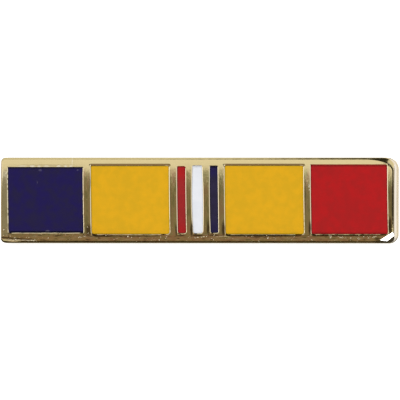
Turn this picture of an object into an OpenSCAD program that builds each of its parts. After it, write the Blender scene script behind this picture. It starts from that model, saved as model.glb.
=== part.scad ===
// Award lapel pin: a struck metal ribbon bar with seven enamel cells and two posts on its back.
// The bar is drawn lying on its back, with x along it, y up its face and z out of its face.
// It is then leant back until it rests on its lower back edge and on the ends of its posts.

/* [Bar] */
// Length of the bar, end to end
bar_length = 17.5; // [16:0.1:22]
// Height of the bar's face
bar_height = 3.76; // [3.5:0.02:4.6]
// Thickness of the bar at the middle of its face
bar_thickness = 1.3; // [1.1:0.05:1.8]
// Radius of the shallow crown across the face
crown_radius = 25; // [20:1:60]
// Radius that rounds the edges of the face
edge_radius = 0.12; // [0.08:0.01:0.16]
// Radius of the two corners at the left end
left_corner_radius = 0.2; // [0.18:0.01:0.5]
// Radius of the upper corner at the right end
right_top_radius = 0.5; // [0.2:0.01:0.6]
// Radius of the lower corner at the right end
right_bottom_radius = 0.28; // [0.2:0.01:0.6]

/* [Rim and dividers] */
// Metal left of the first cell
left_rim = 0.31; // [0.28:0.01:0.5]
// Metal right of the last cell
right_rim = 0.33; // [0.28:0.01:0.5]
// Metal below the cells
bottom_rim = 0.425; // [0.35:0.005:0.5]
// Metal above the cells
top_rim = 0.31; // [0.25:0.01:0.4]
// Metal between two squares, or a square and a stripe
divider = 0.384; // [0.3:0.002:0.5]
// Metal between two stripes
stripe_divider = 0.31; // [0.28:0.01:0.5]

/* [Cells and enamel] */
// Width of the red and the blue stripe
stripe_width = 0.32; // [0.25:0.01:0.4]
// Width of the white stripe
white_width = 0.51; // [0.35:0.01:0.7]
// Depth of the cells below the lowest part of the face
cell_depth = 0.3; // [0.2:0.05:0.5]
// Sideways lean of the cell walls, in degrees, to the left at the top
cell_lean = 0.9; // [0:0.1:1.5]
// Gap between the enamel and the walls and floor of its cell
enamel_gap = 0.02; // [0.01:0.01:0.04]
// How far the enamel's surface lies below the metal
enamel_recess = 0.05; // [0.01:0.01:0.08]

/* [Posts] */
// Distance between the axes of the two posts
post_spacing = 10.5; // [8:0.1:12]
// Radius of a post's shaft
post_radius = 0.55; // [0.45:0.05:0.65]
// Length of the straight shaft behind the bar
shaft_length = 7; // [6:0.1:9]
// Length of the pointed tip
tip_length = 1; // [0.6:0.1:1.5]
// Radius of the blunt end of the tip
tip_radius = 0.12; // [0.08:0.02:0.2]
// Radius of the soldered foot of a post
foot_radius = 1; // [0.8:0.05:1.4]
// Thickness of the soldered foot
foot_thickness = 0.15; // [0.1:0.05:0.3]

/* [Hidden] */

// Number of sides on round faces
$fn = 96;
// Steps on each rounded corner of a cell, and up each of its sides
CORNER_STEPS = 5;
SIDE_STEPS = 6;
// Overlap of soldered solids, and overshoot of cuts
OVERLAP = 0.2;

// Colours of the gold plate and of the enamels
GOLD = [0.85, 0.71, 0.38];
BLUE = [0.14, 0.12, 0.29];
YELLOW = [0.86, 0.66, 0.12];
RED = [0.69, 0.13, 0.13];
WHITE = [0.91, 0.92, 0.94];

// The four squares share the length that the rims, dividers and stripes leave
square_width = (
    bar_length - left_rim - right_rim - 4 * divider
    - 2 * stripe_divider - 2 * stripe_width - white_width
) / 4;

// Widths of the cells from left to right, and of the metal before each
CELL_WIDTHS = [
    square_width, square_width, stripe_width, white_width, stripe_width, square_width, square_width
];
METAL_BEFORE = [
    left_rim, divider, divider, stripe_divider, stripe_divider, divider, divider
];

// What the cutting of the die did to each cell: how far each edge moved outwards from its
// even place, the corner radii, and how far the sides draw in towards both ends
LEFT = 0;
RIGHT = 1;
DOWN = 2;
UP = 3;
TOP_CORNER = 4;
BOTTOM_CORNER = 5;
DRAW_IN = 6;
CELL_FORM = [
    [0, -0.07, -0.015, -0.10, 0.03, 0.03, 0],
    [0.06, -0.015, 0, 0.015, 0.05, 0.12, 0],
    [0, 0, -0.01, -0.07, 0.08, 0.04, 0],
    [0, 0, 0.02, -0.03, 0.05, 0.08, 0.035],
    [0, 0, -0.01, -0.03, 0.03, 0.05, 0.01],
    [0.01, 0.02, 0.03, 0.02, 0.03, 0.10, 0],
    [0, 0, 0, 0, 0.03, 0.06, 0]
];

// Left end of a cell's even place, counted from the left end of the bar
function cell_start(i) =
    METAL_BEFORE[i] + (i == 0 ? 0 : cell_start(i - 1) + CELL_WIDTHS[i - 1]);

// Centre line of the face's rounded long edges, where the round meets the crown without a step
crown_centre = bar_thickness - crown_radius;
edge_reach = bar_height / 2 - edge_radius;
edge_angle = asin(edge_reach / (crown_radius - edge_radius));
edge_centre = crown_centre + (crown_radius - edge_radius) * cos(edge_angle);
// Half height of the crowned part of the face
crown_reach = crown_radius * sin(edge_angle);

// The corners of the bar: towards which end, down or up, and the radius
CORNERS = [
    [-1, -1, left_corner_radius],
    [-1, 1, left_corner_radius],
    [1, -1, right_bottom_radius],
    [1, 1, right_top_radius]
];

// Floor of the cells
cell_floor = edge_centre + edge_radius - cell_depth;

// The lean at which the lower back edge and the shoulders of both posts are level
post_height = bar_height / 2;
post_reach = shaft_length + tip_length;
lean = atan((post_height - post_radius) / shaft_length);

// Depth of the leant part, from its lower front edge to the ends of its posts
front_end = edge_radius * sin(lean) - edge_centre * cos(lean) - edge_radius;
back_end = (post_height + tip_radius) * sin(lean) + post_reach * cos(lean);

// Points of a corner's arc, turning from one angle on by a quarter turn
function corner_points(x, y, radius, from) = [
    for (step = [0 : CORNER_STEPS])
        let (a = from + 90 * step / CORNER_STEPS)
            [x + radius * cos(a), y + radius * sin(a)]
];

// Points up a straight side, without its ends
function side_points(x, y_from, y_to) = [
    for (step = [1 : SIDE_STEPS - 1])
        [x, y_from + (y_to - y_from) * step / SIDE_STEPS]
];

// Points of an upright rounded rectangle about the origin
function upright_points(width, height, top_r, bottom_r) = concat(
    corner_points(width / 2 - bottom_r, bottom_r - height / 2, bottom_r, -90),
    side_points(width / 2, bottom_r - height / 2, height / 2 - top_r),
    corner_points(width / 2 - top_r, height / 2 - top_r, top_r, 0),
    corner_points(top_r - width / 2, height / 2 - top_r, top_r, 90),
    side_points(-width / 2, height / 2 - top_r, bottom_r - height / 2),
    corner_points(bottom_r - width / 2, bottom_r - height / 2, bottom_r, 180)
);

// Outline of a cell, or of its enamel when inset
module cell_outline(i, inset) {
    form = CELL_FORM[i];
    left = cell_start(i) - form[LEFT] + inset - bar_length / 2;
    right = cell_start(i) + CELL_WIDTHS[i] + form[RIGHT] - inset - bar_length / 2;
    bottom = bottom_rim - form[DOWN] + inset;
    top = bar_height - top_rim + form[UP] - inset;
    width = right - left;
    height = top - bottom;
    points = upright_points(width, height, form[TOP_CORNER] - inset / 2, form[BOTTOM_CORNER] - inset / 2);
    translate([(left + right) / 2, (bottom + top) / 2])
        polygon([
            for (p = points)
                let (narrowing = 2 * form[DRAW_IN] / width * pow(2 * p.y / height, 2))
                    [p.x * (1 - narrowing) - p.y * tan(cell_lean), p.y]
        ]);
}

// Outline of the face, a quarter at a time, with rounder corners at its right end
module face_outline() {
    half_length = bar_length / 2;
    half_height = bar_height / 2;
    for (corner = CORNERS) {
        r = corner[2];
        translate([corner[0] > 0 ? 0 : -half_length, corner[1] > 0 ? half_height : r])
            square([half_length, half_height - r]);
        translate([corner[0] > 0 ? 0 : r - half_length, corner[1] > 0 ? half_height : 0])
            square([half_length - r, half_height]);
        translate([corner[0] * (half_length - r), corner[1] > 0 ? bar_height - r : r])
            circle(r);
    }
}

// Section across the bar, with y as its first and z as its second direction
module crowned_section() {
    square([bar_height, edge_centre]);
    for (y = [edge_radius, bar_height - edge_radius])
        translate([y, edge_centre])
            circle(edge_radius);
    intersection() {
        translate([bar_height / 2, crown_centre])
            circle(crown_radius, $fn = 720);
        translate([bar_height / 2 - crown_reach, edge_centre / 2])
            square([2 * crown_reach, bar_thickness]);
    }
}

// Section along the bar, with rounded edges at both ends of the face
module long_section() {
    centre = bar_thickness - edge_radius;
    translate([-bar_length / 2, 0])
        square([bar_length, centre]);
    translate([edge_radius - bar_length / 2, 0])
        square([bar_length - 2 * edge_radius, bar_thickness]);
    for (side = [-1, 1])
        translate([side * (bar_length / 2 - edge_radius), centre])
            circle(edge_radius);
}

// What is ground off round the top of a corner
module corner_waste(radius) {
    rotate_extrude()
        difference() {
            translate([radius - edge_radius, edge_centre])
                square([edge_radius + OVERLAP, bar_thickness]);
            translate([radius - edge_radius, edge_centre])
                circle(edge_radius);
        }
}

// Keeps only the quarter of a corner's waste that lies outside the corner's centre
module corner_rounding(side_x, side_y, radius) {
    reach = radius + OVERLAP;
    x = side_x * (bar_length / 2 - radius);
    y = side_y > 0 ? bar_height - radius : radius;
    translate([x, y, 0])
        intersection() {
            corner_waste(radius);
            translate([side_x > 0 ? 0 : -reach, side_y > 0 ? 0 : -reach, 0])
                cube([reach, reach, 2 * bar_thickness]);
        }
}

// The struck bar before its cells are cut
module bar_blank() {
    difference() {
        intersection() {
            linear_extrude(bar_thickness)
                face_outline();
            rotate([90, 0, 90])
                translate([0, 0, -bar_length / 2])
                    linear_extrude(bar_length)
                        crowned_section();
            translate([0, bar_height, 0])
                rotate([90, 0, 0])
                    linear_extrude(bar_height)
                        long_section();
        }
        for (corner = CORNERS)
            corner_rounding(corner[0], corner[1], corner[2]);
    }
}

// A post with its soldered foot and its point, standing out behind the bar
module post() {
    rotate([180, 0, 0])
        rotate_extrude()
            polygon([
                [0, -OVERLAP],
                [foot_radius, -OVERLAP],
                [foot_radius, foot_thickness],
                [post_radius, foot_thickness],
                [post_radius, shaft_length],
                [tip_radius, post_reach],
                [0, post_reach]
            ]);
}

// Leans the part back onto its posts, with the origin under the middle of its box
module resting() {
    translate([0, -(front_end + back_end) / 2, 0])
        rotate([90 - lean, 0, 0])
            children();
}

module bar() {
    color(GOLD)
        resting() {
            difference() {
                bar_blank();
                for (i = [0 : len(CELL_FORM) - 1])
                    translate([0, 0, cell_floor])
                        linear_extrude(bar_thickness)
                            cell_outline(i, 0);
            }
            for (side = [-1, 1])
                translate([side * post_spacing / 2, post_height, 0])
                    post();
        }
}

// The enamel of one cell, ground to the same crown as the bar
module enamel(i) {
    resting()
        intersection() {
            translate([0, 0, cell_floor + enamel_gap])
                linear_extrude(bar_thickness)
                    cell_outline(i, enamel_gap);
            translate([-bar_length / 2, bar_height / 2, crown_centre])
                rotate([0, 90, 0])
                    cylinder(bar_length, r = crown_radius - enamel_recess, $fn = 720);
        }
}

module enamel_blue() {
    color(BLUE) enamel(0);
}

module enamel_yellow_left() {
    color(YELLOW) enamel(1);
}

module stripe_red() {
    color(RED) enamel(2);
}

module stripe_white() {
    color(WHITE) enamel(3);
}

module stripe_blue() {
    color(BLUE) enamel(4);
}

module enamel_yellow_right() {
    color(YELLOW) enamel(5);
}

module enamel_red() {
    color(RED) enamel(6);
}

bar();
enamel_blue();
enamel_yellow_left();
stripe_red();
stripe_white();
stripe_blue();
enamel_yellow_right();
enamel_red();
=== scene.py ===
"""Looks of the award lapel pin: a struck, gold-plated bar with seven cells of hard enamel."""
import math

import bmesh
import bpy
from mathutils import Euler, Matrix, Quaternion, Vector
from mathutils.geometry import intersect_point_line


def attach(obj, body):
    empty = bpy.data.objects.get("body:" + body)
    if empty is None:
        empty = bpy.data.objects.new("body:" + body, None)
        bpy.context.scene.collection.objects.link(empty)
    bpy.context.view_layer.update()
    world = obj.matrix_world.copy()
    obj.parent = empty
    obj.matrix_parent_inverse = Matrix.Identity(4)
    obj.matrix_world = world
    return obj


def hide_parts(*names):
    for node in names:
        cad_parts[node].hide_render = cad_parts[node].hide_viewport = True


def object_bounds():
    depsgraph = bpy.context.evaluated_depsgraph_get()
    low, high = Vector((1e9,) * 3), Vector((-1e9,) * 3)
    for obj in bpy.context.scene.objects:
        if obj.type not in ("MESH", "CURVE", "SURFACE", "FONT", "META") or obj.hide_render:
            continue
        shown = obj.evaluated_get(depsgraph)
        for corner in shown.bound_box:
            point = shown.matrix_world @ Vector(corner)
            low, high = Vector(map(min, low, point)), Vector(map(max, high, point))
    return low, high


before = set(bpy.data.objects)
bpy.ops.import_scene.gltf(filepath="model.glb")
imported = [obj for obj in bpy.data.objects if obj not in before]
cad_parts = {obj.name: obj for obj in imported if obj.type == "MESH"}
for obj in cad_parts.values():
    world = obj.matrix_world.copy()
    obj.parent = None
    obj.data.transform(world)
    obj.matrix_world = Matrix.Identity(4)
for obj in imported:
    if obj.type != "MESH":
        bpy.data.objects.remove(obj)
cad_low, cad_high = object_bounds()

# Everything is modelled on the bench in millimetres: x along the bar, z up its face and y from
# the face towards the back, with the middle of the face at the origin.
MM = 0.001

# The struck bar
LENGTH = (cad_high.x - cad_low.x) / MM
HEIGHT = 3.76
THICKNESS = 1.3
CROWN_RADIUS = 25.0
CROWN_DEPTH = 0.3
OUTER_CORNERS = {"top_left": 0.2, "low_left": 0.2, "top_right": 0.5, "low_right": 0.28}
CORNER_STEPS = 10

# Its rounded front edge: the sections along it by how far the surface has turned from the face,
# in degrees, and the radii of the corners where it meets the face
EDGE_RADIUS = 0.12
EDGE_TURNS = (0, 5, 10, 17, 25, 36, 50, 66, 80, 90)
INNER_CORNERS = {"top_left": 0.12, "low_left": 0.12, "top_right": 0.5, "low_right": 0.35}
FACE_MARGIN = 0.012

# At the right end that edge has this share of its width, the upper corner is drawn out along the
# top, and the lower one gets rounder by this much for each millimetre towards the back
RIGHT_EDGE_SHARE = 0.8
TOP_RIGHT_STRETCH = 2.6
LOW_RIGHT_TAPER = 0.12

# Its side wall, burnished by the blanking die as far as the shear line and rougher behind it
SHEAR_LINE = 0.72
SHEAR_STEP = 0.006
SHEAR_SLOPE = 0.04
BACK_EDGE = 0.015
BACK_ROUNDING = 0.3

# Flats worn off its lower corners: from and to where they begin, how deep there and how steep.
# The first makes the bright streak at the lower right.
STREAK_START = (8.153, -1.725)
STREAK_END = (8.72, -1.375)
FLATS = (
    (STREAK_START, STREAK_END, 0, 16),
    ((7.745, -1.790), (8.545, -1.686), 0, 34),
    ((8.43, -1.68), (8.73, -1.475), 0, 34),
    ((-8.75, -1.655), (-6.70, -1.86), 0, 5),
    ((-8.75, -1.695), (-6.70, -1.90), 0.0035, 9.3),
    ((-8.75, -1.76), (-6.70, -1.965), 0.0135, 20),
)

# The posts soldered to its back
POST_SPACING = 10.5
POST_RADIUS = 0.55
SHAFT_LENGTH = 7.0
TIP_LENGTH = 1.0
TIP_RADIUS = 0.12
FOOT_RADIUS = 1.0
FOOT_THICKNESS = 0.15
POST_SIDES = 64

# A post's outline after the rim of its foot: radius and distance from the back
POST_OUTLINE = (
    # the foot's rounded edge
    (FOOT_RADIUS, FOOT_THICKNESS - 0.03),
    (FOOT_RADIUS - 0.01, FOOT_THICKNESS - 0.01),
    (FOOT_RADIUS - 0.03, FOOT_THICKNESS),
    # the fillet of solder
    (POST_RADIUS + 0.22, FOOT_THICKNESS + 0.005),
    (POST_RADIUS + 0.12, FOOT_THICKNESS + 0.035),
    (POST_RADIUS + 0.05, FOOT_THICKNESS + 0.1),
    (POST_RADIUS + 0.012, FOOT_THICKNESS + 0.2),
    (POST_RADIUS, FOOT_THICKNESS + 0.32),
    # the shaft and the blunt point
    (POST_RADIUS, SHAFT_LENGTH - 0.05),
    (POST_RADIUS - 0.008, SHAFT_LENGTH + 0.02),
    (TIP_RADIUS + 0.02, SHAFT_LENGTH + TIP_LENGTH - 0.04),
    (TIP_RADIUS - 0.03, SHAFT_LENGTH + TIP_LENGTH),
)

# The metal round the cells
LEFT_RIM = 0.31
RIGHT_RIM = 0.33
BOTTOM_RIM = 0.425
TOP_RIM = 0.31
DIVIDER = 0.384
STRIPE_DIVIDER = 0.31

# The cells, their polished lips and the enamel in them
STRIPE = 0.32
WHITE_STRIPE = 0.51
SQUARE = (
    LENGTH - LEFT_RIM - RIGHT_RIM - 4 * DIVIDER - 2 * STRIPE_DIVIDER - 2 * STRIPE - WHITE_STRIPE
) / 4
CELL_LEAN = math.radians(0.9)
CELL_FLOOR = 0.362
CELL_CORNER_STEPS = 5
SMALLEST_CORNER = 0.01
DRAW_IN_CUTS = 11
ENAMEL_GAP = 0.006
ENAMEL_RECESS = 0.036
ENAMEL_EDGE = 0.012
ENAMEL_EDGE_STEPS = 3
ENAMEL_BORDER = 0.05
LIP_WIDTH = 0.028
LIP_DEPTH = 0.021

# Edges of a lip longer than this are cut up so that they can be made ragged, those of a stripe
# that is drawn in less often. Beyond LIP_END, up or down, is a cell's upper or lower lip.
LONG_EDGE = 0.12
LIP_CUTS = 20
DRAWN_IN_LIP_CUTS = 2
RAGGED_SEED = 7
LIP_END = 0.8

# The burr below a cell, raised in steps along it that start this far left of the cell. Up to each
# of these distances from its lowest edge it rises by a share of its height.
BURR_STEPS = 12
BURR_START = 0.15
BURR_FADE = ((0.045, 0.6), (0.07, 0.25), (0.10, 0.15))

# The rows that the crown is bent in: their height, how many lie above and below the middle, and
# how deep they are cut into the bar, which ends just short of the shear line
ROW_HEIGHT = 0.1
ROWS_EACH_WAY = 18
ROW_DEPTH = SHEAR_LINE - 0.01

# Edges that turn by more than these degrees stay sharp, and slivers are merged away
BAR_SHARP = 28
ENAMEL_SHARP = 35
SLIVER = 0.0002

# How far off a corner may be that is picked at a place, or by the reach of a radius or a depth
TOUCH = 0.0001
MARGIN = 0.001

# The bar leans back on its posts, and the middle of its face lies here in the frame
LEAN = math.atan((HEIGHT / 2 - POST_RADIUS) / SHAFT_LENGTH)
BACK_END = (HEIGHT / 2 + TIP_RADIUS) * math.sin(LEAN) + (SHAFT_LENGTH + TIP_LENGTH) * math.cos(LEAN)
FACE_MIDDLE = Vector((
    0,
    cad_high.y / MM - BACK_END + HEIGHT / 2 * math.sin(LEAN) - THICKNESS * math.cos(LEAN),
    HEIGHT / 2 * math.cos(LEAN) + THICKNESS * math.sin(LEAN),
))


class Cell:
    """A cell's outline on the bench, from its even place and what cutting the die did to it."""

    def __init__(self, node, start, width, moved, corners, draw_in, lips, burr, ragged):
        out_left, out_right, out_down, out_up = moved
        self.node = node
        self.end = start + width
        self.left = start - out_left - LENGTH / 2
        self.right = start + width + out_right - LENGTH / 2
        self.low = BOTTOM_RIM - out_down - HEIGHT / 2
        self.high = HEIGHT / 2 - TOP_RIM + out_up
        self.top_corner, self.bottom_corner = corners
        self.draw_in = draw_in
        self.upper_lip, self.lower_lip = lips
        *self.burr, self.burr_width = burr
        self.ragged = ragged


def lay_out_cells():
    """The seven cells from left to right, each after the metal that parts it from the last."""
    places = (
        # node, metal before it, width, moved out left, right, down and up, top and bottom corner
        ("enamel_blue", LEFT_RIM, SQUARE, (-0.03, -0.015, -0.02, -0.11), (0.03, 0.03)),
        ("enamel_yellow_left", DIVIDER, SQUARE, (0.05, 0.05, 0.04, 0.015), (0.07, 0.12)),
        ("stripe_red", DIVIDER, STRIPE, (-0.02, 0.078, 0, -0.075), (0.08, 0.08)),
        ("stripe_white", STRIPE_DIVIDER, WHITE_STRIPE, (-0.035, 0.03, 0, -0.035), (0.05, 0.10)),
        ("stripe_blue", STRIPE_DIVIDER, STRIPE, (-0.015, 0.07, -0.02, -0.05), (0.03, 0.07)),
        ("enamel_yellow_right", DIVIDER, SQUARE, (0.02, 0.09, 0.04, 0.02), (0.07, 0.10)),
        ("enamel_red", DIVIDER, SQUARE, (-0.025, 0.035, 0.03, 0), (0.03, 0.06)),
    )
    edges = (
        # drawn in, upper and lower lip, height of the burr below its left and right end and
        # width of the burr, raggedness of the lip
        (0, (0.01, LIP_WIDTH), (0, 0, 0.045), 0.010),
        (0, (0.074, LIP_WIDTH), (0.028, 0.010, 0.07), 0.003),
        (0, (0.014, LIP_WIDTH), (0.014, 0.014, 0.045), 0.003),
        (0.035, (0.012, LIP_WIDTH), (0, 0, 0.045), 0.002),
        (0.01, (0.014, LIP_WIDTH), (0, 0, 0.045), 0.002),
        (0, (0.07, LIP_WIDTH), (0.028, 0.028, 0.07), 0.003),
        (0, (0.016, LIP_WIDTH), (0.020, 0.012, 0.045), 0.004),
    )
    cells = []
    reached = 0.0
    for (node, metal, width, moved, corners), details in zip(places, edges):
        cell = Cell(node, reached + metal, width, moved, corners, *details)
        reached = cell.end
        cells.append(cell)
    return cells


def take(piece):
    """Makes the piece the active object and the only selected one."""
    bpy.ops.object.select_all(action="DESELECT")
    piece.select_set(True)
    bpy.context.view_layer.objects.active = piece


def edit(piece):
    """Opens the piece for modelling with nothing selected."""
    take(piece)
    bpy.ops.object.mode_set(mode="EDIT")
    bpy.ops.mesh.select_all(action="DESELECT")


def leave():
    """Closes the piece after modelling."""
    bpy.ops.object.mode_set(mode="OBJECT")


def pick(piece, kind, test, is_open=False):
    """Selects the vertices, edges or faces whose every corner passes the test."""
    bpy.ops.mesh.select_mode(type=kind)
    bpy.ops.mesh.select_all(action="DESELECT")
    mesh = bmesh.from_edit_mesh(piece.data)
    if kind == "VERT":
        for vertex in mesh.verts:
            vertex.select_set(test(vertex.co))
    elif kind == "EDGE":
        for edge in mesh.edges:
            free = len(edge.link_faces) < 2
            edge.select_set((free or not is_open) and all(test(v.co) for v in edge.verts))
    else:
        for face in mesh.faces:
            face.select_set(all(test(v.co) for v in face.verts))
    mesh.select_flush_mode()
    bmesh.update_edit_mesh(piece.data)


def select_faces():
    """Selects all of the piece that is being edited, by its faces."""
    bpy.ops.mesh.select_mode(type="FACE")
    bpy.ops.mesh.select_all(action="SELECT")


def close_to(value, place):
    """Whether a value is at this place."""
    return abs(value - place) < TOUCH


def add_plate(name, left, right, low, high, corners, steps, depth=0.0):
    """A thin upright plate with rounded corners, facing the front."""
    bpy.ops.object.select_all(action="DESELECT")
    bpy.ops.mesh.primitive_plane_add(
        size=1,
        location=((left + right) / 2, depth, (low + high) / 2),
        rotation=(math.pi / 2, 0, 0),
    )
    plate = bpy.context.object
    plate.name = name
    plate.data.name = name
    plate.scale = (right - left, high - low, 1)
    bpy.ops.object.transform_apply(location=True, rotation=True, scale=True)
    edit(plate)
    places = {
        "top_left": (left, high),
        "low_left": (left, low),
        "top_right": (right, high),
        "low_right": (right, low),
    }
    for corner, (x, z) in places.items():
        pick(plate, "VERT", lambda co: close_to(co.x, x) and close_to(co.z, z))
        bpy.ops.mesh.bevel(offset=corners[corner], affect="VERTICES", segments=steps)
    leave()
    return plate


def join(main, others):
    """Joins the other meshes into the main one."""
    take(main)
    for other in others:
        other.select_set(True)
    bpy.ops.object.join()


# The bar


def section(depth, inset, turned):
    """The bar's outline at a depth; turned goes from 0 at the face to 1 at the side wall."""
    corners = {}
    for corner, outer in OUTER_CORNERS.items():
        worn = INNER_CORNERS[corner] - (outer - EDGE_RADIUS)
        corners[corner] = outer - inset + worn * (1 - turned)
    corners["low_right"] += LOW_RIGHT_TAPER * max(0, depth - EDGE_RADIUS)
    left = inset - LENGTH / 2
    right = LENGTH / 2 - inset * RIGHT_EDGE_SHARE
    top = HEIGHT / 2 - inset
    plate = add_plate("section", left, right, -top, top, corners, CORNER_STEPS, depth)
    stretch = 1 + (TOP_RIGHT_STRETCH - 1) * (1 - turned)
    reach = corners["top_right"] + MARGIN
    edit(plate)
    pick(plate, "VERT", lambda co: co.x > right - reach and co.z > top - reach)
    bpy.ops.transform.resize(value=(stretch, 1, 1), center_override=(right, 0, 0))
    leave()
    return plate


def strike_blank():
    """The bar before its cells are sunk: rounded front edge, side wall and open back."""
    plan = []
    for degrees in EDGE_TURNS:
        turn = math.radians(degrees)
        turned = math.sin(turn)
        plan.append((EDGE_RADIUS * (1 - math.cos(turn)), EDGE_RADIUS * (1 - turned), turned))
    plan += [
        (SHEAR_LINE, 0, 1),
        (SHEAR_LINE + SHEAR_SLOPE, SHEAR_STEP, 1),
        (THICKNESS - BACK_EDGE, SHEAR_STEP, 1),
        (THICKNESS - BACK_ROUNDING * BACK_EDGE, SHEAR_STEP + BACK_ROUNDING * BACK_EDGE, 1),
        (THICKNESS, SHEAR_STEP + BACK_EDGE, 1),
    ]
    sections = [section(depth, inset, turned) for depth, inset, turned in plan]
    blank = sections[0]
    blank.name = "gilt_bar"
    blank.data.name = "gilt_bar"
    join(blank, sections[1:])
    edit(blank)
    select_faces()
    bpy.ops.mesh.delete(type="ONLY_FACE")
    depths = [depth for depth, _, _ in plan]
    for near, far in zip(depths, depths[1:]):
        pick(blank, "EDGE", lambda co: close_to(co.y, near) or close_to(co.y, far))
        bpy.ops.mesh.bridge_edge_loops()
    pick(blank, "EDGE", lambda co: close_to(co.y, 0))
    bpy.ops.mesh.edge_face_add()
    pick(blank, "FACE", lambda co: close_to(co.y, 0))
    bpy.ops.mesh.inset(thickness=FACE_MARGIN, depth=0)
    bpy.ops.mesh.delete(type="ONLY_FACE")
    leave()
    return blank


def lean_and_draw_in(plate, cell):
    """Leans a cell's plate to the left, and draws a stripe in towards both ends."""
    low = min(vertex.co.z for vertex in plate.data.vertices)
    high = max(vertex.co.z for vertex in plate.data.vertices)
    middle = (low + high) / 2
    half = (high - low) / 2
    centre = (cell.left + cell.right) / 2
    edit(plate)
    if cell.draw_in:
        bpy.ops.mesh.select_mode(type="EDGE")
        mesh = bmesh.from_edit_mesh(plate.data)
        for edge in mesh.edges:
            edge.select_set(edge.calc_length() > half)
        mesh.select_flush_mode()
        bmesh.update_edit_mesh(plate.data)
        bpy.ops.mesh.subdivide(number_cuts=DRAW_IN_CUTS)
    levels = sorted({round(v.co.z, 3) for v in bmesh.from_edit_mesh(plate.data).verts})
    for level in levels:
        share = (level - middle) / half
        narrowing = 1 - 2 * cell.draw_in / (cell.right - cell.left) * share ** 2
        pick(plate, "VERT", lambda co: round(co.z, 3) == level)
        bpy.ops.transform.resize(value=(narrowing, 1, 1), center_override=(centre, 0, level))
        bpy.ops.transform.translate(value=((middle - level) * math.tan(CELL_LEAN), 0, 0))
    leave()


def add_cell_plate(cell, name, grow, grow_up):
    """A plate in the outline of a cell, grown by so much all round and at its top."""
    top = max(cell.top_corner + grow, SMALLEST_CORNER)
    low = max(cell.bottom_corner + grow, SMALLEST_CORNER)
    corners = {"top_left": top, "top_right": top, "low_left": low, "low_right": low}
    plate = add_plate(
        name,
        cell.left - grow,
        cell.right + grow,
        cell.low - grow,
        cell.high + grow_up,
        corners,
        CELL_CORNER_STEPS,
    )
    lean_and_draw_in(plate, cell)
    return plate


def spot(co):
    """A corner's place on the face, rounded so that it can be found again."""
    return round(co.x, 3), round(co.z, 3)


def selected_spots(piece):
    """The places on the face of all that is selected."""
    mesh = bmesh.from_edit_mesh(piece.data)
    return {spot(vertex.co) for vertex in mesh.verts if vertex.select}


def raise_burr(cup, cell, rings):
    """Raises the metal below a cell by its burr, which fades towards one end and the corners."""
    left_burr, right_burr = cell.burr
    low = min(z for _, z in rings)
    span = (cell.right - cell.left) / BURR_STEPS
    for step in range(BURR_STEPS):
        share = (step + 0.5) / BURR_STEPS
        height = left_burr + (right_burr - left_burr) * share
        start = cell.left - BURR_START + step * span
        for reach, part in BURR_FADE:
            pick(cup, "VERT", lambda co: (
                spot(co) in rings and co.y < LIP_DEPTH + MARGIN and co.z < low + reach
                and start <= co.x < start + span
            ))
            bpy.ops.transform.translate(value=(0, -height * part, 0))


def sink_cell(cell):
    """A cell's burr, lip, walls and floor, open at the face."""
    grow = LIP_WIDTH + cell.burr_width
    cup = add_cell_plate(cell, "cup_" + cell.node, grow, cell.burr_width)
    edit(cup)
    bpy.ops.mesh.select_mode(type="EDGE")
    mesh = bmesh.from_edit_mesh(cup.data)
    for edge in mesh.edges:
        edge.select_set(edge.calc_length() > LONG_EDGE)
    bmesh.update_edit_mesh(cup.data)
    bpy.ops.mesh.subdivide(number_cuts=DRAWN_IN_LIP_CUTS if cell.draw_in else LIP_CUTS)
    select_faces()
    bpy.ops.mesh.inset(thickness=cell.burr_width, depth=0)
    bpy.ops.transform.vertex_random(
        offset=cell.ragged, uniform=0.0, normal=0.0, seed=RAGGED_SEED
    )
    bpy.ops.transform.resize(value=(1, 0, 1), center_override=(0, 0, 0))
    rings = selected_spots(cup)
    bpy.ops.mesh.inset(thickness=LIP_WIDTH, depth=0)
    bpy.ops.transform.translate(value=(0, LIP_DEPTH, 0))
    pick(cup, "VERT", lambda co: co.y > LIP_DEPTH / 2 and co.z > LIP_END)
    bpy.ops.transform.translate(value=(0, 0, LIP_WIDTH - cell.upper_lip))
    pick(cup, "VERT", lambda co: co.y > LIP_DEPTH / 2 and co.z < -LIP_END)
    bpy.ops.transform.translate(value=(0, 0, cell.lower_lip - LIP_WIDTH))
    pick(cup, "FACE", lambda co: co.y > LIP_DEPTH / 2)
    rings |= selected_spots(cup)
    bpy.ops.mesh.extrude_region_move(
        TRANSFORM_OT_translate={"value": (0, CELL_FLOOR - LIP_DEPTH, 0)}
    )
    bpy.ops.transform.resize(value=(1, 0, 1), center_override=(0, CELL_FLOOR, 0))
    if cell.burr[0] > 0:
        raise_burr(cup, cell, rings)
    leave()
    return cup


def solder_post(x):
    """A post on the back: its foot, a fillet of solder, its shaft and its blunt point."""
    bpy.ops.object.select_all(action="DESELECT")
    bpy.ops.mesh.primitive_circle_add(
        vertices=POST_SIDES,
        radius=FOOT_RADIUS,
        location=(x, THICKNESS, 0),
        rotation=(math.pi / 2, 0, 0),
    )
    post = bpy.context.object
    bpy.ops.object.transform_apply(location=True, rotation=True, scale=True)
    edit(post)
    bpy.ops.mesh.select_all(action="SELECT")
    radius, reach = FOOT_RADIUS, 0.0
    for next_radius, next_reach in POST_OUTLINE:
        bpy.ops.mesh.extrude_edges_move(
            TRANSFORM_OT_translate={"value": (0, next_reach - reach, 0)}
        )
        ratio = next_radius / radius
        bpy.ops.transform.resize(value=(ratio, 1, ratio))
        radius, reach = next_radius, next_reach
    bpy.ops.mesh.edge_face_add()
    leave()
    return post


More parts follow.
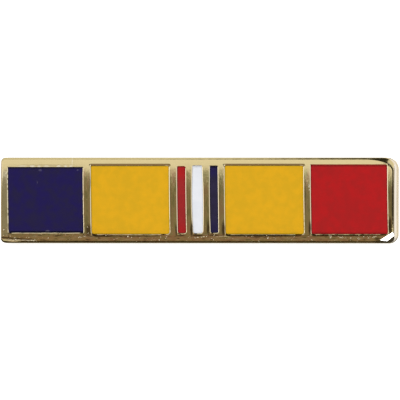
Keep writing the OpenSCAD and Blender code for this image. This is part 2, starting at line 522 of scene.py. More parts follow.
def wear_flat(bar, start, end, depth, degrees):
    """Cuts a shallow flat off the face beyond the line from start to end, by bisecting."""
    along = Vector((end[0] - start[0], 0, end[1] - start[1])).normalized()
    outwards = Vector((along.z, 0, -along.x))
    if outwards.z > 0:
        outwards = -outwards
    turn = math.radians(degrees)
    normal = Vector((0, -math.cos(turn), 0)) + outwards * math.sin(turn)
    place = Vector((start[0], depth, start[1]))
    select_faces()
    bpy.ops.mesh.bisect(plane_co=place, plane_no=normal, clear_outer=True, use_fill=True)
    bpy.ops.mesh.mark_sharp()


def crown(piece, depth):
    """Bends all that is less deep than this to the shallow crown across the face."""
    group = piece.vertex_groups.new(name="crowned")
    group.add([v.index for v in piece.data.vertices if v.co.y < depth], 1.0, "REPLACE")
    heights = [v.co.z for v in piece.data.vertices]
    bend = piece.modifiers.new("crown", "SIMPLE_DEFORM")
    bend.deform_method = "BEND"
    bend.deform_axis = "X"
    bend.angle = (max(heights) - min(heights)) / CROWN_RADIUS
    bend.vertex_group = group.name
    take(piece)
    bpy.ops.object.modifier_apply(modifier=bend.name)
    piece.vertex_groups.clear()


def cut_rows(piece, depth):
    """Cuts the front of a piece into level rows, so that it can be crowned."""
    for row in range(-ROWS_EACH_WAY, ROWS_EACH_WAY + 1):
        pick(piece, "FACE", lambda co: co.y < depth)
        bpy.ops.mesh.bisect(plane_co=(0, 0, row * ROW_HEIGHT), plane_no=(0, 0, 1))


def turn_outwards():
    """Makes every face of the piece that is being edited point outwards."""
    select_faces()
    bpy.ops.mesh.normals_make_consistent(inside=False)


def smooth(piece, degrees):
    """Shades the piece smooth across edges that turn by less than this."""
    take(piece)
    bpy.ops.object.shade_smooth_by_angle(angle=math.radians(degrees))


def stand_up(piece):
    """Leans the piece back and brings it from the bench to its place in the frame."""
    take(piece)
    piece.rotation_euler.x = -LEAN
    piece.scale = (MM, MM, MM)
    piece.location = FACE_MIDDLE * MM
    bpy.ops.object.transform_apply(location=True, rotation=True, scale=True)


def make_bar(cells):
    """The whole metal bar as one closed mesh."""
    bar = strike_blank()
    cups = [sink_cell(cell) for cell in cells]
    posts = [solder_post(side * POST_SPACING / 2) for side in (-1, 1)]
    join(bar, cups + posts)
    edit(bar)
    pick(bar, "EDGE", lambda co: close_to(co.y, 0), is_open=True)
    bpy.ops.mesh.fill(use_beauty=True)
    pick(bar, "EDGE", lambda co: close_to(co.y, THICKNESS), is_open=True)
    bpy.ops.mesh.fill(use_beauty=True)
    pick(bar, "EDGE", lambda co: close_to(co.y, THICKNESS))
    bpy.ops.mesh.mark_sharp()
    turn_outwards()
    for start, end, depth, degrees in FLATS:
        wear_flat(bar, start, end, depth, degrees)
    cut_rows(bar, ROW_DEPTH)
    select_faces()
    bpy.ops.mesh.dissolve_degenerate(threshold=SLIVER)
    turn_outwards()
    leave()
    crown(bar, CROWN_DEPTH)
    smooth(bar, BAR_SHARP)
    stand_up(bar)
    return bar


def distance_to_edge(place, edge):
    """How far a place is from an edge of the mesh, past its ends too."""
    start, end = (vertex.co for vertex in edge.verts)
    nearest, share = intersect_point_line(place, start, end)
    if share < 0:
        nearest = start
    elif share > 1:
        nearest = end
    return (place - nearest).length


def mark_border(enamel):
    """Writes how much each corner of the mesh belongs to the border, 1 at the edge of the top."""
    mesh = bmesh.from_edit_mesh(enamel.data)
    border = mesh.verts.layers.float.new("border")
    top = {face for face in mesh.faces if all(close_to(v.co.y, ENAMEL_RECESS) for v in face.verts)}
    edges = [e for e in mesh.edges if sum(face in top for face in e.link_faces) == 1]
    for vertex in mesh.verts:
        away = 0.0
        if close_to(vertex.co.y, ENAMEL_RECESS):
            away = min(distance_to_edge(vertex.co, edge) for edge in edges)
        vertex[border] = max(0.0, 1 - away / ENAMEL_BORDER)
    bmesh.update_edit_mesh(enamel.data)


def fill_cell(cell):
    """The enamel of one cell: ground to the crown, with a soft edge where it wets the metal."""
    enamel = add_cell_plate(
        cell, "fired_" + cell.node, -ENAMEL_GAP, -cell.upper_lip - ENAMEL_GAP
    )
    edit(enamel)
    select_faces()
    bpy.ops.transform.translate(value=(0, ENAMEL_RECESS, 0))
    bpy.ops.mesh.extrude_region_move(
        TRANSFORM_OT_translate={"value": (0, CELL_FLOOR - ENAMEL_GAP - ENAMEL_RECESS, 0)}
    )
    pick(enamel, "EDGE", lambda co: close_to(co.y, ENAMEL_RECESS))
    bpy.ops.mesh.bevel(offset=ENAMEL_EDGE, affect="EDGES", segments=ENAMEL_EDGE_STEPS)
    pick(enamel, "FACE", lambda co: close_to(co.y, ENAMEL_RECESS))
    bpy.ops.mesh.inset(thickness=ENAMEL_BORDER, depth=0)
    cut_rows(enamel, CELL_FLOOR / 2)
    mark_border(enamel)
    turn_outwards()
    leave()
    crown(enamel, CELL_FLOOR / 2)
    smooth(enamel, ENAMEL_SHARP)
    stand_up(enamel)
    return enamel


# Finishes


class Wire:
    """A socket of a finish that takes part in expressions, each adding its Math node."""

    def __init__(self, finish, socket):
        self.finish = finish
        self.socket = socket

    def math(self, operation, *values):
        """A Math node on these values."""
        return self.finish.add("ShaderNodeMath", {"operation": operation}, dict(enumerate(values)))

    def __add__(self, other):
        return self.math("ADD", self, other)

    __radd__ = __add__

    def __sub__(self, other):
        return self.math("SUBTRACT", self, other)

    def __rsub__(self, other):
        return self.math("SUBTRACT", other, self)

    def __mul__(self, other):
        return self.math("MULTIPLY", self, other)

    __rmul__ = __mul__

    def __abs__(self):
        return self.math("ABSOLUTE", self)


class Finish:
    """A node tree in the making: a material or the studio's light."""

    # How far out a mark begins, and where it is whole, as shares of its half size
    MARK_FADE = (1.35, 0.45)

    def __init__(self, tree):
        self.tree = tree
        tree.nodes.clear()

    def add(self, kind, settings, sockets, output=0):
        """Adds a node, sets its settings, then its sockets, and gives back one output."""
        node = self.tree.nodes.new(kind)
        for name, value in settings.items():
            setattr(node, name, value)
        for name, value in sockets.items():
            if isinstance(value, Wire):
                self.tree.links.new(value.socket, node.inputs[name])
            else:
                node.inputs[name].default_value = value
        return Wire(self, node.outputs[output]) if len(node.outputs) else node

    def rise(self, value, start, end):
        """0 before start, 1 after end and smooth between; end may be the lower of the two."""
        settings = {"interpolation_type": "SMOOTHSTEP", "clamp": True}
        return self.add("ShaderNodeMapRange", settings, {0: value, 1: start, 2: end, 3: 0, 4: 1})

    def blend(self, mask, under, over):
        """The colour under, covered by the colour over where the mask is 1."""
        settings = {"data_type": "RGBA", "clamp_factor": True}
        return self.add("ShaderNodeMix", settings, {0: mask, 6: under, 7: over}, 2)

    def grain(self, place, scale, detail, stretch=(1, 1, 1)):
        """Noise between 0 and 1 about this many times a millimetre."""
        moved = self.add("ShaderNodeMapping", {}, {"Vector": place, "Scale": stretch})
        sockets = {"Vector": moved, "Scale": scale, "Detail": detail}
        return self.add("ShaderNodeTexNoise", {}, sockets)

    def spots(self, place, table):
        """How strongly a place is marked by the table's soft-edged spots, 0 outside them all."""
        mask = 0.0
        for x, z, half_width, half_height, strength in table:
            away = self.add("ShaderNodeMapping", {"vector_type": "POINT"}, {
                "Vector": place,
                "Location": (-x / half_width, 0, -z / half_height),
                "Scale": (1 / half_width, 1, 1 / half_height),
            })
            reach = self.add("ShaderNodeVectorMath", {"operation": "LENGTH"}, {0: away}, "Value")
            mark = self.rise(reach, *self.MARK_FADE) * strength
            mask = mark.math("MAXIMUM", mark, mask)
        return mask

    def split(self, vector):
        """The x, y and z of a vector."""
        parts = self.add("ShaderNodeSeparateXYZ", {}, {"Vector": vector}).socket.node
        return [Wire(self, parts.outputs[axis]) for axis in "XYZ"]

    def bump(self, height, distance, normal=None):
        """The surface raised by the height, which counts this many metres."""
        sockets = {"Strength": 1, "Distance": distance, "Height": height}
        if normal:
            sockets["Normal"] = normal
        return self.add("ShaderNodeBump", {}, sockets)


def linear(red, green, blue):
    """A colour on the photograph's scale of 0 to 255, as the light that Blender works with."""
    shades = []
    for shade in (red / 255, green / 255, blue / 255):
        shades.append(shade / 12.92 if shade <= 0.04045 else ((shade + 0.055) / 1.055) ** 2.4)
    return (*shades, 1.0)


def start_material(name):
    """A new material and its Finish."""
    material = bpy.data.materials.new(name)
    material.use_nodes = True
    return material, Finish(material.node_tree)


def bench_place(finish):
    """The place on the bench in millimetres, undoing the lean of the pin."""
    upright_middle = FACE_MIDDLE.copy()
    upright_middle.rotate(Euler((LEAN, 0, 0)))
    return finish.add("ShaderNodeMapping", {"vector_type": "POINT"}, {
        "Vector": finish.add("ShaderNodeTexCoord", {}, {}, "Object"),
        "Location": -upright_middle,
        "Rotation": (LEAN, 0, 0),
        "Scale": (1 / MM, 1 / MM, 1 / MM),
    })


def close_finish(finish, sockets):
    """Ends a material in one shader with these sockets."""
    shader = finish.add("ShaderNodeBsdfPrincipled", {}, sockets)
    finish.add("ShaderNodeOutputMaterial", {}, {"Surface": shader})


# The plating's shades
GOLD = (0.80, 0.66, 0.345, 1)
# Browner gold for the painted darker reflection along the lower rim
BROWN_GOLD = (0.72, 0.50, 0.29, 1)
REDDISH_GOLD = (0.80, 0.52, 0.32, 1)
OLIVE_GOLD = (0.50, 0.47, 0.22, 1)
PALE_GOLD = (0.90, 0.79, 0.56, 1)
# A painted highlight: the paler left end of the face
LEFT_END_HIGHLIGHT_GOLD = (0.98, 0.90, 0.62, 1)
# Painted shade: dark reflections and shadows painted into the plating's colour
PAINTED_SHADE_GOLD = (0.16, 0.115, 0.06, 1)
# The colour of the painted glints and highlights, and of some real nicks
GLINT_AND_BARE_METAL = (0.98, 0.88, 0.66, 1)
# Painted highlights at the right end: on its edge, and on the flat of the streak
EDGE_HIGHLIGHT = (0.93, 0.86, 0.72, 1)
STREAK_HIGHLIGHT_WHITE = (0.95, 0.94, 0.90, 1)

# Marks on the bench: middle along and up, half width, half height and strength. First the painted
# shade on the metal, then its painted glints and real nicks, and last the pale pits in the blue
# enamel.
SHADES = (
    (-4.76, 0.75, 0.03, 0.35, 0.45),
    (-4.82, -1.32, 0.12, 0.28, 0.85),
    (-6.75, 1.535, 1.60, 0.03, 0.35),
    (-4.30, -1.57, 0.75, 0.045, 0.9),
    (-2.90, -1.575, 1.30, 0.035, 0.5),
    (-1.155, -0.20, 0.022, 1.20, 0.5),
    (-0.915, -1.30, 0.042, 0.26, 0.95),
    (-0.72, -1.555, 0.22, 0.03, 0.9),
    (-0.44, -0.10, 0.022, 1.00, 0.35),
    (-0.235, -1.28, 0.06, 0.34, 0.95),
    (0.03, -1.54, 0.27, 0.04, 1.0),
    (0.50, -1.26, 0.06, 0.34, 0.9),
    (0.75, -1.535, 0.22, 0.035, 1.0),
    (1.18, -1.27, 0.085, 0.34, 0.9),
    (2.90, -1.55, 1.85, 0.045, 0.9),
    (4.81, 0.20, 0.022, 0.85, 0.6),
    (5.02, -1.23, 0.06, 0.32, 0.95),
    (6.60, -1.555, 1.75, 0.028, 0.95),
    (8.60, 0.10, 0.10, 0.75, 0.3),
    (8.57, -1.12, 0.07, 0.42, 1.0),
    (8.71, -0.10, 0.05, 1.10, 0.9),
    (8.00, -1.68, 0.13, 0.05, 0.85),
    (8.78, -1.69, 0.10, 0.06, 1.0),
)
# Painted glints and highlights on the metal, with some real nicks among them
NICKS_AND_GLINTS = (
    (-8.60, -1.30, 0.03, 0.04, 1.0),
    (-8.31, -1.56, 0.04, 0.025, 0.8),
    (-7.49, -1.63, 0.03, 0.025, 0.7),
    (-7.13, -1.79, 0.02, 0.04, 0.9),
    (-6.62, -1.655, 0.03, 0.02, 0.7),
    (-5.20, -1.62, 0.12, 0.02, 0.9),
    (-5.00, -1.59, 0.06, 0.02, 0.9),
    (-5.553, 1.70, 0.014, 0.20, 0.9),
    (-7.80, 1.487, 0.22, 0.03, 0.6),
    (-7.33, 1.487, 0.13, 0.035, 1.0),
    (-7.03, 1.487, 0.07, 0.035, 0.9),
    (-6.70, 1.487, 0.16, 0.03, 0.7),
    (-6.15, 1.487, 0.10, 0.035, 0.9),
    (-5.85, 1.487, 0.07, 0.035, 1.0),
    (-5.62, 1.487, 0.07, 0.035, 0.9),
    (-4.865, -1.17, 0.022, 0.035, 1.0),
    (-4.84, -1.46, 0.025, 0.03, 0.9),
    (-4.45, -1.66, 0.06, 0.02, 0.6),
    (-3.70, -1.725, 0.03, 0.03, 0.8),
    (-3.06, -1.598, 0.035, 0.035, 1.0),
    (-2.90, -1.637, 0.03, 0.03, 1.0),
    (-1.99, -1.655, 0.02, 0.02, 0.6),
    (-1.68, -1.75, 0.025, 0.045, 1.0),
    (-1.59, -1.598, 0.02, 0.045, 0.9),
    (0.033, -1.624, 0.06, 0.024, 1.0),
    (0.20, -1.61, 0.05, 0.024, 1.0),
    (0.31, -1.60, 0.04, 0.024, 1.0),
    (0.43, -1.59, 0.04, 0.024, 1.0),
    (0.735, -1.738, 0.03, 0.035, 1.0),
    (2.45, -1.80, 0.03, 0.02, 0.7),
    (3.145, -1.655, 0.03, 0.03, 0.9),
    (4.98, 0.63, 0.035, 0.09, 1.0),
    (5.00, 0.45, 0.03, 0.03, 1.0),
    (5.10, -1.74, 0.05, 0.03, 0.9),
    (5.95, -1.63, 0.02, 0.07, 0.8),
    (6.41, -1.63, 0.09, 0.03, 0.9),
    (6.62, -1.66, 0.03, 0.02, 0.8),
    (7.18, -1.68, 0.08, 0.025, 0.8),
    (7.41, -1.60, 0.05, 0.03, 1.0),
    (7.62, -1.64, 0.04, 0.05, 0.8),
    (7.86, -1.60, 0.05, 0.04, 0.8),
)
PITS = (
    (-6.99, 1.315, 0.07, 0.05, 0.12),
    (-6.66, -1.35, 0.10, 0.04, 0.16),
    (-5.33, 1.32, 0.04, 0.04, 0.14),
    (-7.12, 0.78, 0.014, 0.08, 0.12),
)


# Each enamel's colour, its colour in the stripes, its darker tone for the mottling and for the
# painted shade at its border, how mottled it is and its pits
PALE_SPECK = (0.30, 0.27, 0.32, 1)
STRIPES_END = 1.05
STRIPES_FADE = 0.05
BORDER_SHADE_STRENGTH = 0.6
ENAMEL_SHADES = {
    "blue_enamel": ((25, 16, 74), (40, 34, 60), (32, 28, 46), 0.55, PITS),
    "yellow_enamel": ((206, 154, 16), (206, 154, 16), (170, 140, 20), 0.3, ()),
    "red_enamel": ((166, 16, 19), (146, 33, 33), (118, 26, 24), 0.28, ()),
    "white_enamel": ((212, 214, 218), (212, 214, 218), (200, 203, 210), 0.5, ()),
}

# The middle of the blue cell, from which the notches of its lips are found
BLUE_MIDDLE = -6.746

# The fine relief of the finishes, in metres
GOLD_RIPPLE = 0.0000025
GOLD_PORES = 0.0000024
ENAMEL_WAVES = 0.000002


def bend_place(finish, place, amount):
    """The place pushed about by fine noise, so that marks on it get an uneven outline."""
    noise = finish.add("ShaderNodeTexNoise", {}, {"Vector": place, "Scale": 9.0}, "Color")
    middle = finish.add(
        "ShaderNodeVectorMath", {"operation": "SUBTRACT"}, {0: noise, 1: (0.5, 0.5, 0.5)}
    )
    scaled = finish.add(
        "ShaderNodeVectorMath", {"operation": "SCALE"}, {0: middle, "Scale": amount}
    )
    return finish.add("ShaderNodeVectorMath", {"operation": "ADD"}, {0: place, 1: scaled})


def streak_dividers(finish, place, x, between, colour):
    """Streaks the metal between the cells reddish and olive, and paints a highlight on the left end
    by making it paler.
    """
    streaks = finish.grain(place, 2.6, 4, (2.0, 1, 0.5))
    left_end = finish.rise(x, -8.3, -8.45)
    # Painted highlight on the left end
    colour = finish.blend(left_end * between, colour, LEFT_END_HIGHLIGHT_GOLD)
    streaked = between * (1 - left_end * 0.7)
    colour = finish.blend(streaked * finish.rise(streaks, 0.50, 0.62) * 0.6, colour, REDDISH_GOLD)
    return finish.blend(streaked * finish.rise(streaks, 0.50, 0.38) * 0.7, colour, OLIVE_GOLD)


def brown_low_rim(finish, place, x, low_rim, coarse, colour):
    """Paints the lower rim's darker reflection into the metal below the cells: brown, olive, pale
    and dark patches.
    """
    below_blue = finish.rise(x, -4.6, -5.2)
    # Patches of painted darker reflection below the cells
    worn = low_rim * finish.rise(coarse, 0.42, 0.60) * (0.9 - below_blue * 0.6)
    colour = finish.blend(worn, colour, BROWN_GOLD)
    colour = finish.blend(low_rim * finish.rise(coarse, 0.50, 0.36) * 0.55, colour, OLIVE_GOLD)
    smears = finish.grain(place, 5.5, 3, (0.6, 1, 2.4))
    colour = finish.blend(low_rim * finish.rise(smears, 0.55, 0.66) * 0.7, colour, PALE_GOLD)
    return finish.blend(low_rim * finish.rise(smears, 0.42, 0.31) * 0.8, colour, PAINTED_SHADE_GOLD)


def find_painted_shade(finish, uneven, x, z, front):
    """How much painted shade the face gets: the marks of the table, and a dark line at the lower
    left.
    """
    shade = finish.spots(uneven, SHADES)
    # How far from the painted dark line at the lower left
    from_dark_line = abs(z + 1.668 + (x + 8.2) * 0.074)
    line = finish.rise(from_dark_line, 0.036, 0.016) * finish.rise(x, -7.0, -7.7)
    return shade.math("MAXIMUM", shade, line * 0.95 * front)


def find_nicks_and_glints(finish, place, uneven, x, z, low_rim):
    """How strongly the face gets painted glints, with some real nicks: the table's marks, a painted
    highlight line and a fine scatter of painted sparkles.
    """
    nick_and_glint = finish.spots(uneven, NICKS_AND_GLINTS)
    highlight_line = finish.rise(abs(z + 1.752 + (x + 7.8) * 0.02), 0.03, 0.01)
    highlight_line = highlight_line * finish.rise(x, -8.55, -8.35) * finish.rise(x, -7.05, -7.3)
    nick_and_glint = nick_and_glint.math("MAXIMUM", nick_and_glint, highlight_line * 0.9)
    scatter = finish.grain(place, 13, 1) * 0.6 + finish.grain(place, 5, 1) * 0.4
    return nick_and_glint.math("MAXIMUM", nick_and_glint, low_rim * finish.rise(scatter, 0.62, 0.68) * 0.8)


def find_shaded_notches(finish, place, x, z):
    """1 in the notches of the lips beside the blue cell, painted dark: painted shade that breaks
    the lips' bright reflection.
    """
    from_blue = abs(x - BLUE_MIDDLE + z * math.tan(CELL_LEAN))
    notches = finish.rise(finish.grain(place, 9, 1), 0.50, 0.58) * finish.rise(z, 1.50, 1.46)
    return notches * finish.rise(from_blue, 1.645, 1.655) * finish.rise(from_blue, 1.69, 1.68)


def paint_end_light(finish, x, y, z, front, colour):
    """Paints highlights on the flat and the edge at the right end, whitening them, and paints shade
    on the left end.
    """
    along = (Vector(STREAK_END) - Vector(STREAK_START)).normalized()
    past_streak = (x - STREAK_START[0]) * along.y - (z - STREAK_START[1]) * along.x
    # The streak on the flat is a painted highlight, whitened in its colour
    polished = finish.rise(past_streak, -0.005, 0.005) * finish.rise(x, 8.05, 8.15) * front
    colour = finish.blend(polished, colour, STREAK_HIGHLIGHT_WHITE)
    right_edge = finish.rise(x, 8.70, 8.73) * finish.rise(y, 0.56, 0.46)
    colour = finish.blend(right_edge * finish.rise(z, -1.5, -1.3), colour, EDGE_HIGHLIGHT)
    left_edge = finish.rise(x, -8.68, -8.72) * finish.rise(z, 1.7, 1.2)
    return finish.blend(left_edge * 0.7, colour, PAINTED_SHADE_GOLD)


def make_gold():
    """Bright gold plate over the struck brass, with a darker reflection painted brown along its
    lower rim.
    """
    material, finish = start_material("gold_plate")
    place = bench_place(finish)
    x, y, z = finish.split(place)
    fine = finish.grain(place, 9, 3)
    coarse = finish.grain(place, 3.2, 4, (0.8, 1, 2.2))
    uneven = bend_place(finish, place, 0.05)

    # Where it is on the bar: the face, below the cells, between them, on a lip, on the back
    front = finish.rise(y, 0.35, 0.2)
    low_rim = front * finish.rise(z, -1.40, -1.56)
    sunk = finish.rise(y - z * z * 0.02, 0.002, 0.007)
    between = front * finish.rise(z, 1.45, 1.1) * finish.rise(z, -1.65, -1.50) * (1 - sunk)
    lips = sunk * front * finish.rise(abs(x), 8.58, 8.5) * finish.rise(abs(z), 1.66, 1.62)
    back_wall = finish.rise(y, 0.68, 0.78)
    back_face = finish.rise(y, 1.28, 1.295) * finish.rise(y, 1.40, 1.31)

    # The lips are painted paler: a painted highlight on top of the light they mirror
    colour = finish.blend(lips * 0.8, GOLD, PALE_GOLD)
    colour = streak_dividers(finish, place, x, between, colour)
    colour = brown_low_rim(finish, place, x, low_rim, coarse, colour)
    # Painted shade from the table's marks and the dark line at the lower left
    colour = finish.blend(find_painted_shade(finish, uneven, x, z, front), colour, PAINTED_SHADE_GOLD)
    nick_and_glint = find_nicks_and_glints(finish, place, uneven, x, z, low_rim)
    # Painted glints, sparkles and a highlight line whiten the metal, with some real nicks
    colour = finish.blend(nick_and_glint, colour, GLINT_AND_BARE_METAL)
    # Painted shade in the notches of the blue cell's lips
    colour = finish.blend(front * find_shaded_notches(finish, place, x, z) * 0.8, colour, PAINTED_SHADE_GOLD)
    # Painted highlights at the right end and painted shade at the left end
    colour = paint_end_light(finish, x, y, z, front, colour)

    scuffed = nick_and_glint * finish.rise(z, 1.1, 0.9)
    calm = finish.rise(z, 1.6, 1.3) * (front * 0.8 + 0.2)
    relief = fine * 0.25 * calm + low_rim * coarse * 0.9 * finish.rise(x, 8.1, 7.7)
    ripple = finish.bump(finish.grain(place, 1.3, 2), GOLD_RIPPLE)
    close_finish(finish, {
        "Base Color": colour,
        "Metallic": 1.0,
        "Roughness": 0.05 + fine * 0.05 + scuffed * 0.4 + back_wall * 0.2 + back_face * 0.25,
        "Normal": finish.bump(relief, GOLD_PORES, ripple),
    })
    return material


def make_enamel(slot):
    """Hard enamel, ground and polished to a satin, mottled, with painted shade at its border."""
    *colours, mottling, pits = ENAMEL_SHADES[slot]
    colour, stripe_colour, mottle_and_border_shade = (linear(*shade) for shade in colours)
    material, finish = start_material(slot)
    place = bench_place(finish)
    x, _, z = finish.split(place)
    cloud = finish.grain(place, 2.8, 4)
    patches = finish.grain(place, 0.8, 2)
    speckle = finish.grain(place, 14, 2)
    border = finish.add(
        "ShaderNodeAttribute", {"attribute_type": "GEOMETRY", "attribute_name": "border"}, {}, "Fac"
    )
    in_stripes = finish.rise(abs(x), STRIPES_END + STRIPES_FADE, STRIPES_END)
    in_stripes = in_stripes * (1 - finish.rise(abs(z + 0.05), 0.7, 1.35) * 0.8)
    base = finish.blend(in_stripes, colour, stripe_colour)
    depth = finish.rise(cloud * 0.65 + patches * 0.35, 0.36, 0.64) * mottling + speckle * 0.14
    base = finish.blend(depth, base, mottle_and_border_shade)
    # Painted shade along the border, where the lips shade the enamel
    base = finish.blend(finish.rise(border, 0, 1) * BORDER_SHADE_STRENGTH, base, mottle_and_border_shade)
    if pits:
        base = finish.blend(finish.spots(bend_place(finish, place, 0.1), pits), base, PALE_SPECK)
    close_finish(finish, {
        "Base Color": base,
        "Roughness": 0.42 + speckle * 0.16,
        "Specular IOR Level": 0.1,
        "Normal": finish.bump(finish.grain(place, 5, 3), ENAMEL_WAVES),
    })
    return material


# The studio


# What the polished metal mirrors there
DARK_TABLE = (0.05, 0.04, 0.022, 1)
BROWN_TABLE = (0.17, 0.125, 0.06, 1)
REDDISH_WALL = (0.29, 0.215, 0.15, 1)
OLIVE_WALL = (0.244, 0.214, 0.151, 1)
LAMP = (0.915, 0.915, 0.915, 1)
DARK_CARD = (0.05, 0.05, 0.04, 1)
CEILING = (0.8, 0.8, 0.77, 1)
BLACK_CARD = (0.03, 0.03, 0.022, 1)
COOL_LAMP = (0.95, 0.95, 1.0, 1)
DIM_WALL = (0.12, 0.10, 0.06, 1)
BRIGHT_WALL = (1.4, 1.4, 1.45, 1)
PALE_TABLE = (0.8, 0.76, 0.7, 1)
BACK_WALL = (0.36, 0.33, 0.24, 1)
WARM_WALL = (0.95, 0.90, 0.85, 1)
BACK_TABLE = (0.05, 0.045, 0.03, 1)
STREAK_LAMP = (4, 4, 4, 1)
SOFT_LIGHT = (1.15, 1.15, 1.15, 1)
WHITE = (1, 1, 1, 1)


def mirror_front(studio, aside, height):
    """From below the bar's eye line up: dark table, brown, olive wall, lamp, card, ceiling."""
    mirrored = studio.blend(studio.rise(height, -29, -25), DARK_TABLE, BROWN_TABLE)
    mirrored = studio.blend(studio.rise(height, -12, -2), mirrored, REDDISH_WALL)
    mirrored = studio.blend(studio.rise(height, 4, 5.6), mirrored, OLIVE_WALL)
    lamp_low = 16.2 + 0.9 * studio.rise(aside, -10.72, -10.60)
    lamp_low = lamp_low - 3.1 * studio.rise(aside, -9.89, -9.60)
    mirrored = studio.blend(studio.rise(height - lamp_low, 0, 1.8), mirrored, LAMP)
    mirrored = studio.blend(studio.rise(height, 41, 43), mirrored, DARK_CARD)
    card_top = 43 + 26 * studio.rise(aside, -10.95, -9.45) * studio.rise(aside, -5, -8)
    return studio.blend(studio.rise(height - card_top, 0, 3), mirrored, CEILING)


def mirror_sides(studio, aside, height, mirrored):
    """Black cards above and on the right, a lamp and walls at the sides, pale table on the left."""
    slant = aside + 9.7 - (height - 17.5) * 0.40
    top_card = studio.rise(aside, -9.76, -9.45) * studio.rise(slant, 5, 1.5)
    top_card = top_card * studio.rise(height, 27, 31) * studio.rise(height, 112, 104)
    mirrored = studio.blend(top_card, mirrored, BLACK_CARD)
    right_card = studio.rise(aside, -6.5, -2.5) * studio.rise(height, 4, 5.5)
    mirrored = studio.blend(right_card * studio.rise(height, 41, 36), mirrored, BLACK_CARD)
    right_lamp = studio.rise(aside, 54, 58) * studio.rise(aside, 73, 70)
    mirrored = studio.blend(right_lamp, mirrored, COOL_LAMP)
    mirrored = studio.blend(studio.rise(aside, 76, 80), mirrored, DIM_WALL)
    mirrored = studio.blend(studio.rise(aside, -72, -77), mirrored, BRIGHT_WALL)
    table_strip = studio.rise(height, -22, -20) * studio.rise(height, -9, -11)
    table_strip = table_strip * studio.rise(aside, -11.07, -11.57)
    return studio.blend(table_strip, mirrored, PALE_TABLE)


def mirror_behind(studio, aside, height, mirrored):
    """The wall behind the bar, warm on the right and dim at its far end, and the table there."""
    behind = studio.rise(abs(height), 118, 126)
    mirrored = studio.blend(behind, mirrored, BACK_WALL)
    on_right = studio.rise(aside, -7, -4)
    mirrored = studio.blend(behind * on_right, mirrored, WARM_WALL)
    far_right = behind * studio.rise(aside, 42, 50) * studio.rise(abs(height), 148, 156)
    mirrored = studio.blend(far_right, mirrored, DIM_WALL)
    low_back = studio.rise(height, -166, -162) * studio.rise(height, -85, -95)
    low_back = low_back * on_right * studio.rise(aside, 30, 22)
    return studio.blend(low_back, mirrored, BACK_TABLE)


def mirror_lamps(studio, aside, height, mirrored):
    """The round lamp that makes the streak at the lower right, and a long one at the side."""
    settings = {"operation": "DISTANCE"}
    direction = studio.add("ShaderNodeCombineXYZ", {}, {"X": aside, "Y": height})
    lamp_off = studio.add(
        "ShaderNodeVectorMath", settings, {0: direction, 1: (9.8, -20.4, 0)}, "Value"
    )
    side_lamp = studio.rise(aside, -0.5, 1.5) * studio.rise(aside, 46, 42)
    side_lamp = side_lamp * studio.rise(height, 1.8, 2.6) * studio.rise(height, 5.2, 4.4)
    lamps = lamp_off.math("MAXIMUM", side_lamp, studio.rise(lamp_off, 10.5, 8.5))
    return studio.blend(lamps, mirrored, STREAK_LAMP)


def light_studio():
    """Plain white light all round, with what the polished metal mirrors worked out by direction."""
    world = bpy.data.worlds.new("studio")
    bpy.context.scene.world = world
    world.use_nodes = True
    studio = Finish(world.node_tree)
    x, y, z = studio.split(studio.add("ShaderNodeTexCoord", {}, {}, "Generated"))
    aside = x.math("DEGREES", x.math("ARCSINE", x))
    height = x.math("DEGREES", x.math("ARCTAN2", z, y * -1))
    mirrored = mirror_front(studio, aside, height)
    mirrored = mirror_sides(studio, aside, height, mirrored)
    mirrored = mirror_behind(studio, aside, height, mirrored)
    mirrored = mirror_lamps(studio, aside, height, mirrored)
    seen = studio.add("ShaderNodeLightPath", {}, {}, "Is Camera Ray")
    diffuse = Wire(studio, seen.socket.node.outputs["Is Diffuse Ray"])
    light = studio.blend(diffuse, mirrored, SOFT_LIGHT)
    light = studio.blend(seen, light, WHITE)
    glow = studio.add("ShaderNodeBackground", {}, {"Color": light, "Strength": 1.0})
    studio.add("ShaderNodeOutputWorld", {}, {"Surface": glow})
    world.cycles.sampling_method = "NONE"


# The table's width in metres, its grey, and how much it glows so that it stays white
FLOOR_WIDTH = 6
FLOOR_GREY = (0.5, 0.5, 0.5, 1)
FLOOR_GLOW = 0.97


def lay_floor():
    """A plain white table top, with no gloss and hidden from the metal's mirror."""
    bpy.ops.object.select_all(action="DESELECT")
    bpy.ops.mesh.primitive_plane_add(size=FLOOR_WIDTH)
    floor = bpy.context.object
    floor.name = "table"
    material, finish = start_material("table")
    close_finish(finish, {
        "Base Color": FLOOR_GREY,
        "Roughness": 1.0,
        "Specular IOR Level": 0.0,
        "Emission Color": WHITE,
        "Emission Strength": FLOOR_GLOW,
    })
    floor.data.materials.append(material)
    floor.visible_glossy = False


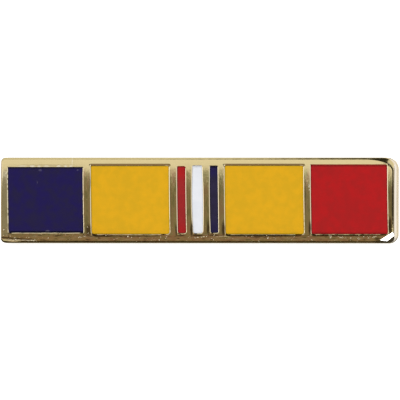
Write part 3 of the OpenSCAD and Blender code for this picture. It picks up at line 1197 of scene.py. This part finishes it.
# The camera stands to the right of the bar and a little above it, and is turned to level the bar.
# It aims a little beside the middle of the face. How near and how far it sees is in metres.
CAMERA_AZIMUTH = math.radians(10.36)
CAMERA_ELEVATION = math.radians(9.77)
CAMERA_ROLL = math.radians(-1.763)
CAMERA_DISTANCE = 801.75
CAMERA_LENS = 1650
CAMERA_SEES = (0.01, 6)
AIM_RIGHT = 0.141
AIM_UP = 0.007


def set_camera():
    """A long lens at the photograph's angle, so that the bar keeps its straight outline."""
    towards = Vector((
        math.sin(CAMERA_AZIMUTH) * math.cos(CAMERA_ELEVATION),
        -math.cos(CAMERA_AZIMUTH) * math.cos(CAMERA_ELEVATION),
        math.sin(CAMERA_ELEVATION),
    ))
    turn = (-towards).to_track_quat("-Z", "Y") @ Quaternion((0, 0, 1), CAMERA_ROLL)
    aim = FACE_MIDDLE + turn @ Vector((AIM_RIGHT, AIM_UP, 0))
    camera_data = bpy.data.cameras.new("camera")
    camera_data.lens = CAMERA_LENS
    camera_data.clip_start, camera_data.clip_end = CAMERA_SEES
    camera = bpy.data.objects.new("camera", camera_data)
    bpy.context.scene.collection.objects.link(camera)
    camera.location = (aim + towards * CAMERA_DISTANCE) * MM
    camera.rotation_euler = turn.to_euler()
    bpy.context.scene.camera = camera
    bpy.context.scene.view_settings.view_transform = "Standard"


# The pin is made, and each piece takes its node's place

cells = lay_out_cells()
bar = make_bar(cells)
bar.data.materials.append(make_gold())
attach(bar, "root")
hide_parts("bar")

SLOTS = {
    "enamel_blue": "blue_enamel",
    "enamel_yellow_left": "yellow_enamel",
    "stripe_red": "red_enamel",
    "stripe_white": "white_enamel",
    "stripe_blue": "blue_enamel",
    "enamel_yellow_right": "yellow_enamel",
    "enamel_red": "red_enamel",
}
ENAMELS = {slot: make_enamel(slot) for slot in ENAMEL_SHADES}
for cell in cells:
    enamel = fill_cell(cell)
    enamel.data.materials.append(ENAMELS[SLOTS[cell.node]])
    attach(enamel, "root")
    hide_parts(cell.node)

light_studio()
lay_floor()
set_camera()
